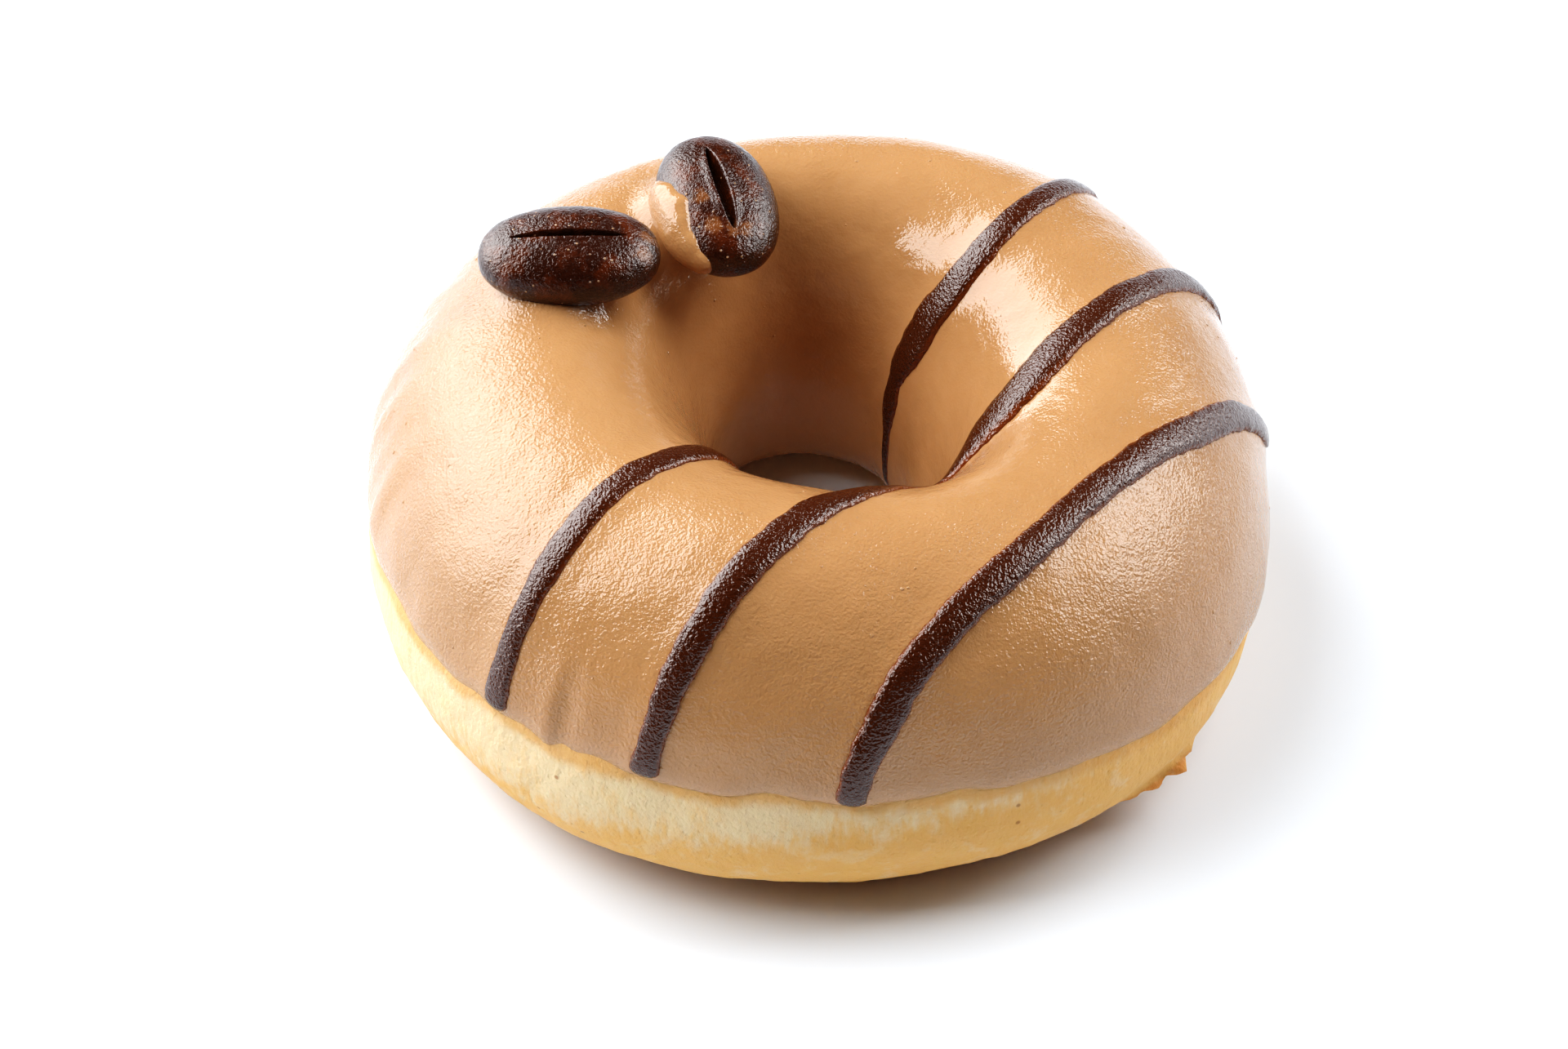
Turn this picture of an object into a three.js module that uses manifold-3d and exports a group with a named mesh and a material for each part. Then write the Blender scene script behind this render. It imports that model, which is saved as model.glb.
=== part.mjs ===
// An iced ring doughnut: a raised dough ring, a coat of mocha icing over its top and down its hole,
// chocolate stripes and two chocolate coffee beans.
// Millimetres, +Z up. The origin is on the table, under the middle of the ring.
// theta is the angle round the ring, from +X towards +Y. phi is the angle round the ring's section:
// 0 faces outwards, 90 is the crest, 180 faces the hole and 270 is the underside.
import * as THREE from "three";
import { mergeVertices } from "three/addons/utils/BufferGeometryUtils.js";
import Module from "manifold-3d";

const wasm = await Module();
wasm.setup();

const { degToRad, lerp, smoothstep } = THREE.MathUtils;

// ---- The ring ----
const OUTER_RADIUS = 45;
const HOLE_RADIUS = 11.3;
const CREST_HEIGHT = 38;
// A hand-cut ring is never round: each wave is [how many round the ring, height, angle of a peak].
const OUTER_WAVES = [[1, 0.5, 30], [2, 1.5, 14], [3, 0.6, 46], [4, 0.7, -36]];
const HOLE_WAVES = [[1, 4.3, 82], [2, 2.2, -65], [3, 1, -26]];
const CREST_WAVES = [[1, 1.3, -134]];
const CREST_SHARE = 0.49; // where the crest lies between the hole and the outside
const WIDEST_HEIGHT = 15.2; // height of the widest outer line
const NARROWEST_HEIGHT = 9.4; // height of the narrowest line in the hole
const UNDERSIDE_POWER = 2.2; // 2 is an ellipse, and more is squarer
const SETTLE = 0.8; // how far the round underside is pressed flat by its own weight

// ---- The icing ----
const ICING_THICKNESS = 0.9;
const ICING_LIP = 0.5; // thickness at its two edges
const LIP_SPAN = 16; // degrees of section over which it thins to the lip
const OUTER_EDGE = 1; // phi of its lower edge on the outside, with the waves of a tilted dip
const OUTER_EDGE_WAVES = [[1, 11.3, -123], [2, 2.5, 79], [3, 1.5, -38]];
const INNER_EDGE = 196; // phi of its lower edge in the hole
const DOUGH_SWELL = 26; // degrees of section over which bare dough swells out past the lip
const GAP = 0.3; // clearance between pieces that touch

// ---- The stripes: [theta, phi, width] along each one. Stripe 1 is cut in two by the hole ----
const STRIPE_THICKNESS = 0.9;
const STRIPES = {
  stripe_1_back: [[52, 12, 1.6], [50, 34, 2.3], [47.5, 60, 2.5], [46, 84, 2.5], [45.5, 104, 2.6],
    [46.5, 121, 2.9], [51, 138, 3.3], [56, 152, 2.8], [58, 165, 2.2], [57.5, 176, 1.7], [57, 188, 0.9]],
  stripe_1_front: [[210, 158, 1.2], [218, 146, 1.8], [225, 130, 2.3], [227.5, 116, 2.4],
    [227.5, 104, 2.4], [226, 86, 2.5], [226, 62, 2.5], [226, 40, 2.3], [226, 28, 2.3], [226, 17, 2.5]],
  stripe_2: [[28, 8, 2.0], [26, 34, 2.5], [23.5, 54, 2.8], [18, 74.5, 3.0], [11.5, 90.5, 3.2],
    [3, 106.5, 3.9], [354, 118, 4.2], [346, 131, 3.9], [337, 138, 3.2], [327, 141, 2.7],
    [316, 140, 2.5], [306, 134.5, 2.4], [297, 127.5, 2.4], [288, 118, 2.4], [279, 107.5, 2.8],
    [270.5, 98, 3.1], [262.5, 84, 3.0], [256.5, 70.5, 3.0], [252.5, 56.5, 3.0], [250, 42.5, 2.9],
    [248.5, 29, 2.6], [247.5, 16, 2.6]],
  stripe_3: [[13, 3, 1.8], [6.5, 15.5, 2.2], [1.5, 34, 2.7], [356, 48, 3.3], [343.5, 66, 3.4],
    [336.5, 72, 3.4], [328, 76, 3.3], [319.5, 76.5, 3.3], [310.5, 73.5, 3.3], [302, 68.5, 3.4],
    [294, 62, 3.4], [287.5, 54, 3.5], [282, 44.5, 3.5], [278, 33, 3.3], [275, 22, 3.0], [273.5, 11, 2.4]],
};

// ---- The beans: where each centre is, its heading, how far its far end tips down and its roll ----
const BEAN_LENGTH = 18;
const BEAN_WIDTH = 11.2;
const BEAN_HEIGHT = 8.4;
const CREASE_LENGTH = 11;
const CREASE_DEPTH = 1.3;
const CREASE_HALF_ANGLE = 7; // degrees round the bean
const BEAN_BLUNTNESS = 0.46; // 0.5 is an ellipsoid, and less is blunter at the ends
const CREASED_FACE_SHARE = 0.92; // the creased face is a little flatter
const BEANS = {
  coffee_bean_left: { centre: [-24.6, 9.9, 41.6], heading: 3, tip: 1, roll: 9 },
  coffee_bean_right: { centre: [-10, 20, 39], heading: -74, tip: 13, roll: -3 },
};

// ---- How finely each piece is faceted ----
const RING_STEPS = 64;
const ICED_STEPS = 14;
const BARE_STEPS = 10;
const STRIPE_STEP = 3.2; // length of a facet along a stripe
const FINE_STEPS = 400; // steps that measure a stripe's real length
const BEAN_STEPS = 14;
const CREASE_ANGLES = [0, 4, 9, 15]; // facets close to the crease

function waves(list, theta) {
  return list.reduce((sum, [lobes, height, peak]) =>
    sum + height * Math.cos(lobes * (theta - degToRad(peak))), 0);
}

// A power of a sine or cosine that keeps a section smooth where it turns vertical or level.
function rounded(value, power) {
  return Math.abs(value) ** (2 / power);
}

// The outside of the doughnut, icing and bare dough alike, at theta and phi in radians.
function skin(theta, phi) {
  const outer = OUTER_RADIUS + waves(OUTER_WAVES, theta);
  const hole = HOLE_RADIUS + waves(HOLE_WAVES, theta);
  const top = CREST_HEIGHT + waves(CREST_WAVES, theta);
  const crest = lerp(hole, outer, CREST_SHARE);
  const out = Math.cos(phi);
  const up = Math.sin(phi);
  const power = up >= 0 ? 2 : UNDERSIDE_POWER;
  const reach = out >= 0 ? outer - crest : hole - crest;
  const radius = crest + reach * rounded(out, power);
  const waist = lerp(NARROWEST_HEIGHT, WIDEST_HEIGHT, (1 + out) / 2);
  const height = up >= 0
    ? lerp(waist, top, up)
    : Math.max(0, waist - (waist + SETTLE) * rounded(up, power));
  return new THREE.Vector3(radius * Math.cos(theta), radius * Math.sin(theta), height);
}

// The directions along theta and along phi, and the outward normal, by small differences.
function tangents(theta, phi) {
  const small = 1e-3;
  const alongRing = skin(theta + small, phi).sub(skin(theta - small, phi)).divideScalar(2 * small);
  const alongSection = skin(theta, phi + small).sub(skin(theta, phi - small)).divideScalar(2 * small);
  const normal = alongRing.clone().cross(alongSection).normalize();
  return { alongRing, alongSection, normal };
}

function lifted(theta, phi, lift) {
  return skin(theta, phi).addScaledVector(tangents(theta, phi).normal, lift);
}

function icingEdges(theta) {
  return [OUTER_EDGE + waves(OUTER_EDGE_WAVES, theta), INNER_EDGE].map(degToRad);
}

function icingThickness(theta, phi) {
  const [from, to] = icingEdges(theta);
  const inside = Math.min(phi - from, to - phi);
  return lerp(ICING_LIP, ICING_THICKNESS, smoothstep(inside, 0, degToRad(LIP_SPAN)));
}

// How far the dough lies inside the skin: the icing and its clearance, fading out over the bare dough.
function doughInset(theta, phi) {
  const [from, to] = icingEdges(theta);
  const outside = Math.max(from - phi, phi - to);
  if (outside <= 0) return icingThickness(theta, phi) + GAP;
  return (ICING_LIP + GAP) * (1 - smoothstep(outside, 0, degToRad(DOUGH_SWELL)));
}

// A closed solid from rows of points: quads between neighbouring rows and neighbouring points.
function surfaceOf(rows, closedRows) {
  const count = rows[0].length;
  const positions = rows.flat().flatMap((point) => point.toArray());
  const index = [];
  const rowPairs = closedRows ? rows.length : rows.length - 1;
  for (let i = 0; i < rowPairs; i++) {
    const next = (i + 1) % rows.length;
    for (let j = 0; j < count; j++) {
      const a = i * count + j;
      const b = next * count + j;
      const c = next * count + (j + 1) % count;
      const d = i * count + (j + 1) % count;
      index.push(a, b, c, a, c, d);
    }
  }
  if (!closedRows) {
    // Each end row is closed by a fan from its first point.
    const last = (rows.length - 1) * count;
    for (let j = 1; j < count - 1; j++) {
      index.push(0, j, j + 1);
      index.push(last, last + j + 1, last + j);
    }
  }
  const geometry = new THREE.BufferGeometry();
  geometry.setAttribute("position", new THREE.Float32BufferAttribute(positions, 3));
  geometry.setIndex(index);
  return geometry;
}

function ringRows(pointsAt) {
  return Array.from({ length: RING_STEPS }, (_, i) => pointsAt((i / RING_STEPS) * 2 * Math.PI));
}

function spread(from, to, steps) {
  return Array.from({ length: steps + 1 }, (_, i) => lerp(from, to, i / steps));
}

// Section angles once round the ring's section, with a row on each edge of the icing.
function sectionAngles(theta) {
  const [from, to] = icingEdges(theta);
  const iced = spread(from, to, ICED_STEPS);
  const bare = spread(to, from + 2 * Math.PI, BARE_STEPS).slice(1, -1);
  return [...iced, ...bare];
}

function doughGeometry() {
  const rows = ringRows((theta) => sectionAngles(theta).map((phi) => {
    const turned = phi > Math.PI * 1.5 ? phi - 2 * Math.PI : phi;
    return lifted(theta, phi, -doughInset(theta, turned));
  }));
  return surfaceOf(rows, true);
}

function icingGeometry() {
  const rows = ringRows((theta) => {
    const angles = spread(...icingEdges(theta), ICED_STEPS);
    const outside = angles.map((phi) => skin(theta, phi));
    const inside = angles.map((phi) => lifted(theta, phi, -icingThickness(theta, phi)));
    return [...outside, ...inside.reverse()];
  });
  return surfaceOf(rows, true);
}

// The skin lifted by the clearance, as one solid: it trims the underside of whatever rests on it.
function clearanceGeometry() {
  return surfaceOf(ringRows((theta) => sectionAngles(theta).map((phi) => lifted(theta, phi, GAP))), true);
}

// A stripe is a low bead: six points across, carried along its path on the skin.
const BEAD = [[-0.5, 0], [0.5, 0], [0.46, 0.55], [0.22, 1], [-0.22, 1], [-0.46, 0.55]];

// The path's angles run on past 360 degrees, so that the curve through them never jumps.
function stripeCurve(points) {
  let turns = 0;
  const knots = points.map(([theta, phi, width], i) => {
    const step = i ? theta - points[i - 1][0] : 0;
    turns += step > 180 ? -1 : step < -180 ? 1 : 0;
    return new THREE.Vector3(degToRad(theta + 360 * turns), degToRad(phi), width);
  });
  return new THREE.CatmullRomCurve3(knots, false, "centripetal");
}

// The bead's six points where the path passes theta and phi, heading along the given direction.
function beadAt({ x: theta, y: phi, z: width }, along) {
  const { alongRing, alongSection, normal } = tangents(theta, phi);
  const side = along.clone().cross(normal).normalize();
  return BEAD.map(([across, rise]) => {
    const reach = across * width;
    const turn = (reach * side.dot(alongRing)) / alongRing.lengthSq();
    const climb = (reach * side.dot(alongSection)) / alongSection.lengthSq();
    return lifted(theta + turn, phi + climb, GAP + rise * STRIPE_THICKNESS);
  });
}

// The curve's parameters at even steps of real length along the skin.
function evenSteps(curve) {
  const fine = spread(0, 1, FINE_STEPS);
  const lengths = [0];
  for (let i = 1; i < fine.length; i++) {
    const from = curve.getPoint(fine[i - 1]);
    const to = curve.getPoint(fine[i]);
    lengths.push(lengths[i - 1] + skin(from.x, from.y).distanceTo(skin(to.x, to.y)));
  }
  const total = lengths.at(-1);
  return spread(0, total, Math.round(total / STRIPE_STEP))
    .map((length) => fine[lengths.findIndex((reached) => reached >= length - 1e-9)]);
}

function stripeGeometry(points) {
  const curve = stripeCurve(points);
  const rows = evenSteps(curve).map((at) => {
    const ahead = curve.getPoint(Math.min(at + 1 / FINE_STEPS, 1));
    const behind = curve.getPoint(Math.max(at - 1 / FINE_STEPS, 0));
    const along = skin(ahead.x, ahead.y).sub(skin(behind.x, behind.y)).normalize();
    return beadAt(curve.getPoint(at), along);
  });
  return surfaceOf(rows, false);
}

// A bean is an oval along X with a crease along its top. Angles run round X from the crease.
function beanAngles() {
  const half = [...CREASE_ANGLES, ...spread(30, 180, 8)].map(degToRad);
  return [...half, ...half.slice(1, -1).reverse().map((angle) => 2 * Math.PI - angle)];
}

function beanPoint(x, angle) {
  const girth = (1 - (x / (BEAN_LENGTH / 2)) ** 2) ** BEAN_BLUNTNESS;
  const turn = Math.min(angle, 2 * Math.PI - angle);
  const inCrease = 1 - smoothstep(Math.abs(x), CREASE_LENGTH / 2 - 1.5, CREASE_LENGTH / 2 + 0.5);
  const depth = CREASE_DEPTH * inCrease * Math.exp(-((turn / degToRad(CREASE_HALF_ANGLE)) ** 2));
  const flat = Math.cos(angle) > 0 ? CREASED_FACE_SHARE : 1;
  const y = Math.sin(angle) * (BEAN_WIDTH / 2) * girth;
  const z = Math.cos(angle) * (BEAN_HEIGHT / 2) * girth * flat - depth;
  return new THREE.Vector3(x, y, z);
}

function beanGeometry() {
  const stations = spread(0, Math.PI, BEAN_STEPS).slice(1, -1);
  const rows = stations.map((turn) => {
    const x = (-Math.cos(turn) * BEAN_LENGTH) / 2;
    return beanAngles().map((angle) => beanPoint(x, angle));
  });
  return surfaceOf(rows, false);
}

function solidOf(geometry) {
  const bare = geometry.index ? geometry.toNonIndexed() : geometry.clone();
  bare.deleteAttribute("normal");
  bare.deleteAttribute("uv");
  const merged = mergeVertices(bare, 1e-4);
  return new wasm.Manifold(new wasm.Mesh({
    numProp: 3,
    vertProperties: merged.attributes.position.array,
    triVerts: new Uint32Array(merged.index.array),
  }));
}

function geometryOf(solid) {
  const { vertProperties, triVerts } = solid.getMesh();
  const geometry = new THREE.BufferGeometry();
  geometry.setAttribute("position", new THREE.BufferAttribute(vertProperties, 3));
  geometry.setIndex(new THREE.BufferAttribute(triVerts, 1));
  return geometry;
}

// A bean set down on the icing: its underside is trimmed to the icing, with a clearance.
function seatedBean({ centre, heading, tip, roll }, underneath) {
  const place = new THREE.Matrix4().compose(
    new THREE.Vector3(...centre),
    new THREE.Quaternion().setFromEuler(
      new THREE.Euler(degToRad(roll), degToRad(tip), degToRad(heading), "ZYX")),
    new THREE.Vector3(1, 1, 1),
  );
  return geometryOf(solidOf(beanGeometry().applyMatrix4(place)).subtract(underneath));
}

function piece(name, geometry, material) {
  const mesh = new THREE.Mesh(geometry, material);
  mesh.name = name;
  return mesh;
}

const dough = new THREE.MeshStandardMaterial({ color: 0xe2b36b, roughness: 0.75, metalness: 0 });
const icing = new THREE.MeshStandardMaterial({ color: 0xc08a58, roughness: 0.25, metalness: 0 });
const chocolate = new THREE.MeshStandardMaterial({ color: 0x3f1a0a, roughness: 0.35, metalness: 0 });

const doughnut = new THREE.Group();
doughnut.add(piece("dough_ring", doughGeometry(), dough));
doughnut.add(piece("icing", icingGeometry(), icing));
for (const [name, points] of Object.entries(STRIPES)) {
  doughnut.add(piece(name, stripeGeometry(points), chocolate));
}
const underneath = solidOf(clearanceGeometry());
for (const [name, pose] of Object.entries(BEANS)) {
  doughnut.add(piece(name, seatedBean(pose, underneath), chocolate));
}

export default doughnut;
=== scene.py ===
# %% [markdown]
# # An iced ring doughnut
# A ring doughnut is one ring of fried yeast dough. Its top is dipped in mocha icing, thin lines of
# melted chocolate are poured across it, and two chocolates moulded like coffee beans are set down
# while the icing is still soft. Each of those is a piece here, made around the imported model, which is
# the fixed frame that every piece is placed by.

# %% Load the frame
import math

import bpy
import numpy as np
from mathutils import Matrix, Vector


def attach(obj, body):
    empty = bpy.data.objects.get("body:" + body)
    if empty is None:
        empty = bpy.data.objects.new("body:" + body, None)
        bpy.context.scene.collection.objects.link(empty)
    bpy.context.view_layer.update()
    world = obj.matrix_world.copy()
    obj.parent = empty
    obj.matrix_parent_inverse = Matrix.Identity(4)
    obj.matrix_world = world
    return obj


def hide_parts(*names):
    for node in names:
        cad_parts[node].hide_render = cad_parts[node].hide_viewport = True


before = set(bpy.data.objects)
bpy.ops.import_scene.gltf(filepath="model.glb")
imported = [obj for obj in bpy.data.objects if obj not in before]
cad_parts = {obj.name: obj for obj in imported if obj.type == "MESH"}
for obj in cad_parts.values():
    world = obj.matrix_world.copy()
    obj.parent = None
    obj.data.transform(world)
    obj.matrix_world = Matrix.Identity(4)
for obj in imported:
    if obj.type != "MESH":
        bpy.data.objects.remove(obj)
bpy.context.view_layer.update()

print("frame pieces:", sorted(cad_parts))

# %% [markdown]
# ## The camera and the light
# A doughnut on a counter is looked at from about as far above it as in front of it. The camera is
# placed by three plain numbers: how high it looks from, how far away it stands and what it looks at.
# A long lens from half a metre away keeps the ring from looking bloated.

# %% Set the camera
MM = 0.001
LOOKING_DOWN = math.radians(46.07)
CAMERA_DISTANCE = 450.8 * MM
LOOKED_AT = Vector((-3.4, -2.3, 15.8)) * MM


def direction(azimuth, elevation):
    """A unit vector: azimuth in degrees from +X towards +Y, elevation in degrees above the table."""
    a = math.radians(azimuth)
    e = math.radians(elevation)
    return Vector((math.cos(a) * math.cos(e), math.sin(a) * math.cos(e), math.sin(e)))


def aim(thing, place, target):
    thing.location = place
    thing.rotation_euler = (target - place).to_track_quat("-Z", "Y").to_euler()
    bpy.context.scene.collection.objects.link(thing)
    return thing


lens = bpy.data.cameras.new("camera")
lens.sensor_width = 36
lens.lens = 102.55
lens.clip_start = 0.01
camera_place = LOOKED_AT + direction(-90, math.degrees(LOOKING_DOWN)) * CAMERA_DISTANCE
camera = aim(bpy.data.objects.new("camera", lens), camera_place, LOOKED_AT)
bpy.context.scene.camera = camera
print("camera at", [round(x, 3) for x in camera_place])

# %% [markdown]
# Glossy icing shows its lights, so they are big and soft: two softboxes, one on each side and a
# little behind. A studio sets colour and gloss apart with flags and filters. Here each softbox is a
# pair: one light for the colours and one for the gloss. A higher light over each side fills the
# crest and the table, and stays out of the gloss, so that the crest keeps its deep colour. The
# Standard view keeps a white table white, and a curve deepens the shadows.

# %% Light the table
AROUND = Vector((0, 0, 20)) * MM
SHINE_AHEAD = 0.02
SHADOW_CURVE = [(0.03, 0.014), (0.10, 0.072), (0.25, 0.235), (0.60, 0.62)]


def area_light(name, azimuth, elevation, distance, width, height, brightness):
    lamp = bpy.data.lights.new(name, "AREA")
    lamp.shape = "RECTANGLE"
    lamp.size = width
    lamp.size_y = height
    lamp.energy = brightness * math.pi * width * height
    place = AROUND + direction(azimuth, elevation) * distance
    return aim(bpy.data.objects.new(name, lamp), place, AROUND)


def softbox(name, azimuth, elevation, distance, width, height, matt, shine):
    """Two lights, one just before the other: one only for the colours, and one only for the gloss."""
    area_light(name, azimuth, elevation, distance, width, height, matt).visible_glossy = False
    if shine > 0:
        nearer = distance - SHINE_AHEAD
        gloss = area_light(name + "_shine", azimuth, elevation, nearer, width, height, shine)
        gloss.visible_diffuse = False


softbox("softbox_left", 157, 30, 0.70, 1.00, 0.70, 3.0, 8.0)
softbox("softbox_right", 12, 30, 0.75, 0.74, 0.44, 1.0, 8.4)
softbox("fill_left", 180, 60, 0.80, 0.55, 0.50, 6.9, 0)
softbox("fill_right", 24, 50, 0.80, 0.55, 0.50, 6.2, 0)
view = bpy.context.scene.view_settings
view.view_transform = "Standard"
view.use_curve_mapping = True
for bright, shown in SHADOW_CURVE:
    view.curve_mapping.curves[3].points.new(bright, shown)
view.curve_mapping.update()
print("lights:", sorted(lamp.name for lamp in bpy.data.lights))

# %% [markdown]
# ## Helpers for node trees
# Materials and Geometry Nodes are both trees of nodes. One helper adds a node, sets its settings and
# fills its inputs, either with a plain value or with a link from another node. Everything below is
# written with it, so that a tree reads like a recipe: sums, spans and noise are one word each.

# %% Write the node helpers


def put(tree, kind, inputs=None, **settings):
    """Adds a node. inputs maps a socket's name or number to a value, or to the socket that feeds it."""
    node = tree.nodes.new(kind)
    for name, value in settings.items():
        setattr(node, name, value)
    for key, value in (inputs or {}).items():
        if isinstance(value, bpy.types.NodeSocket):
            tree.links.new(value, node.inputs[key])
        else:
            node.inputs[key].default_value = value
    return node


def calc(tree, operation, *values):
    return put(tree, "ShaderNodeMath", dict(enumerate(values)), operation=operation).outputs[0]


def vector_calc(tree, operation, *values):
    return put(tree, "ShaderNodeVectorMath", dict(enumerate(values)), operation=operation).outputs[0]


def scaled(tree, vector, factor):
    inputs = {0: vector, "Scale": factor}
    return put(tree, "ShaderNodeVectorMath", inputs, operation="SCALE").outputs[0]


def span(tree, value, low, high, to_low=0.0, to_high=1.0):
    """Turns a value between low and high into one between to_low and to_high, smoothly."""
    inputs = {0: value, 1: low, 2: high, 3: to_low, 4: to_high}
    return put(tree, "ShaderNodeMapRange", inputs, interpolation_type="SMOOTHSTEP").outputs[0]


def noise(tree, place, size, detail=2.0, roughness=0.5, distortion=0.0):
    """Cloudy noise whose blobs are about size across, in metres."""
    inputs = {"Vector": place, "Scale": 1 / size, "Detail": detail, "Roughness": roughness,
              "Distortion": distortion}
    return put(tree, "ShaderNodeTexNoise", inputs).outputs[0]


print("node helpers:", [helper.__name__ for helper in (put, calc, vector_calc, scaled, span, noise)])

# %% [markdown]
# ## Helpers for Geometry Nodes
# A Geometry Nodes tree is a small machine with named inputs. Every tree here starts and ends in the
# same way, and passes numbers along as named attributes on the points.

# %% Write the helpers for Geometry Nodes


def geometry_tree(name, inputs):
    """A Geometry Nodes tree with named inputs, and what its group input gives."""
    tree = bpy.data.node_groups.new(name, "GeometryNodeTree")
    tree.interface.new_socket("Geometry", in_out="INPUT", socket_type="NodeSocketGeometry")
    tree.interface.new_socket("Geometry", in_out="OUTPUT", socket_type="NodeSocketGeometry")
    for label, kind in inputs.items():
        tree.interface.new_socket(label, in_out="INPUT", socket_type="NodeSocket" + kind)
    return tree, tree.nodes.new("NodeGroupInput").outputs


def close_tree(tree, geometry, material):
    """Every tree ends in the same way: smooth, one material and real geometry, not instances."""
    smooth = put(tree, "GeometryNodeSetShadeSmooth", {0: geometry}).outputs[0]
    real = put(tree, "GeometryNodeRealizeInstances", {0: smooth}).outputs[0]
    painted = put(tree, "GeometryNodeSetMaterial", {0: real, "Material": material}).outputs[0]
    put(tree, "NodeGroupOutput", {0: painted})


def attribute(tree, name, kind="FLOAT"):
    return put(tree, "GeometryNodeInputNamedAttribute", {"Name": name}, data_type=kind).outputs[0]


def store(tree, geometry, name, value, kind="FLOAT"):
    inputs = {0: geometry, "Name": name, "Value": value}
    node = put(tree, "GeometryNodeStoreNamedAttribute", inputs, data_type=kind, domain="POINT")
    return node.outputs[0]


print("tree helpers:", [helper.__name__ for helper in (geometry_tree, close_tree, attribute, store)])

# %% [markdown]
# ## Helpers that finish a piece
# A tree is run once, and its result becomes the object's own plain mesh, so that nothing depends on the
# tree afterwards. Then the piece is handed to the frame: it rides on the root, and the imported piece
# that it stands for is hidden.

# %% Write the finishing helpers


def grow(shape, tree, settings):
    """Runs a tree on an object, and leaves the result as the object's plain mesh."""
    modifier = shape.modifiers.new(tree.name, "NODES")
    modifier.node_group = tree
    sockets = {item.name: item.identifier for item in tree.interface.items_tree
               if item.in_out == "INPUT"}
    for label, value in settings.items():
        modifier[sockets[label]] = value
    evaluated = shape.evaluated_get(bpy.context.evaluated_depsgraph_get())
    made = bpy.data.meshes.new_from_object(evaluated)
    shape.modifiers.clear()
    shape.data = made
    made.name = shape.name
    made.calc_loop_triangles()
    print(shape.name, "has", len(made.loop_triangles), "triangles")


def ready(shape, node, slot):
    """Hands a finished piece to the frame: it rides on the root and hides the CAD node that it stands
    for. The slot is not used.
    """
    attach(shape, "root")
    if node:
        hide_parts(node)
    return shape


print("finishing helpers:", [helper.__name__ for helper in (grow, ready)])

# %% [markdown]
# ## The surroundings
# The room fills the shadows. It is dark on the camera's side and pale overhead and behind, so the
# front of the icing keeps its deep colour. A world's coordinates are directions, so the brightness can
# follow how far a direction points up and back.

# %% Fill the shadows
FRONT_GLOW = 0.12
TOP_GLOW = 1.7
BACK_SHARE = 0.4
GLOW_FROM = 0.1
GLOW_TO = 1.1
surroundings = bpy.data.worlds.new("surroundings")
surroundings.use_nodes = True
sky = surroundings.node_tree
pointing = put(sky, "ShaderNodeTexCoord").outputs["Generated"]
parts = put(sky, "ShaderNodeSeparateXYZ", {0: pointing}).outputs
up_and_back = calc(sky, "ADD", parts[2], calc(sky, "MULTIPLY", parts[1], BACK_SHARE))
glow = span(sky, up_and_back, GLOW_FROM, GLOW_TO, FRONT_GLOW, TOP_GLOW)
sky.links.new(glow, sky.nodes["Background"].inputs["Strength"])
bpy.context.scene.world = surroundings
print("the room's brightness runs from", FRONT_GLOW, "in front to", TOP_GLOW, "overhead")

# %% [markdown]
# ## The doughnut's skin
# The outside of the whole doughnut follows one rule. Round the ring, an angle theta; round the ring's
# section, an angle phi that is 0 on the outside, 90 on the crest and 180 in the hole. A hand-cut ring
# is never quite round, so each radius gets a few low waves. The widest place of the section lies
# lower in the hole than outside, and the underside is pressed flat by its own weight. The rule is
# the one that the frame was made by, so that every fine piece lies where the frame says.

# %% Write the skin's rule
OUTER_RADIUS = 45
HOLE_RADIUS = 11.3
CREST_HEIGHT = 38
OUTER_WAVES = [(1, 0.5, 30), (2, 1.5, 14), (3, 0.6, 46), (4, 0.7, -36)]
HOLE_WAVES = [(1, 4.3, 82), (2, 2.2, -65), (3, 1, -26)]
CREST_WAVES = [(1, 1.3, -134)]
CREST_SHARE = 0.49
WIDEST_HEIGHT = 15.2
NARROWEST_HEIGHT = 9.4
UNDERSIDE_POWER = 2.2
SETTLE = 0.8


def waves(lobes, theta):
    return sum(height * np.cos(count * (theta - math.radians(peak))) for count, height, peak in lobes)


def skin(theta, phi):
    """Points of the skin, in millimetres, for arrays of theta and phi in radians."""
    outer = OUTER_RADIUS + waves(OUTER_WAVES, theta)
    hole = HOLE_RADIUS + waves(HOLE_WAVES, theta)
    top = CREST_HEIGHT + waves(CREST_WAVES, theta)
    crest = hole + CREST_SHARE * (outer - hole)
    out = np.cos(phi)
    up = np.sin(phi)
    power = np.where(up >= 0, 2, UNDERSIDE_POWER)
    reach = np.where(out >= 0, outer - crest, hole - crest)
    radius = crest + reach * np.abs(out) ** (2 / power)
    waist = NARROWEST_HEIGHT + (WIDEST_HEIGHT - NARROWEST_HEIGHT) * (1 + out) / 2
    below = np.maximum(0, waist - (waist + SETTLE) * np.abs(up) ** (2 / UNDERSIDE_POWER))
    height = np.where(up >= 0, waist + (top - waist) * up, below)
    return np.stack([radius * np.cos(theta), radius * np.sin(theta), height], -1)


def skin_normal(theta, phi):
    small = 1e-3
    along_ring = skin(theta + small, phi) - skin(theta - small, phi)
    along_section = skin(theta, phi + small) - skin(theta, phi - small)
    normal = np.cross(along_ring, along_section)
    return normal / np.linalg.norm(normal, axis=-1, keepdims=True)


def lifted(theta, phi, lift):
    return skin(theta, phi) + skin_normal(theta, phi) * np.asarray(lift)[..., None]


print("the skin's crest at the front is", round(float(skin(-math.pi / 2, math.pi / 2)[2]), 1), "mm high")

# %% [markdown]
# ## Where the icing ends
# Icing is put on by dipping: the ring goes in upside down and a little tilted, so the edge sits
# higher on one side than on the other. As the icing sets it gathers in small scallops. A few waves
# with more lobes, and a little unevenness, give that edge. At the front left it hangs lower under a
# fold. Inside the hole the icing runs nearly to the bottom.

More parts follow.
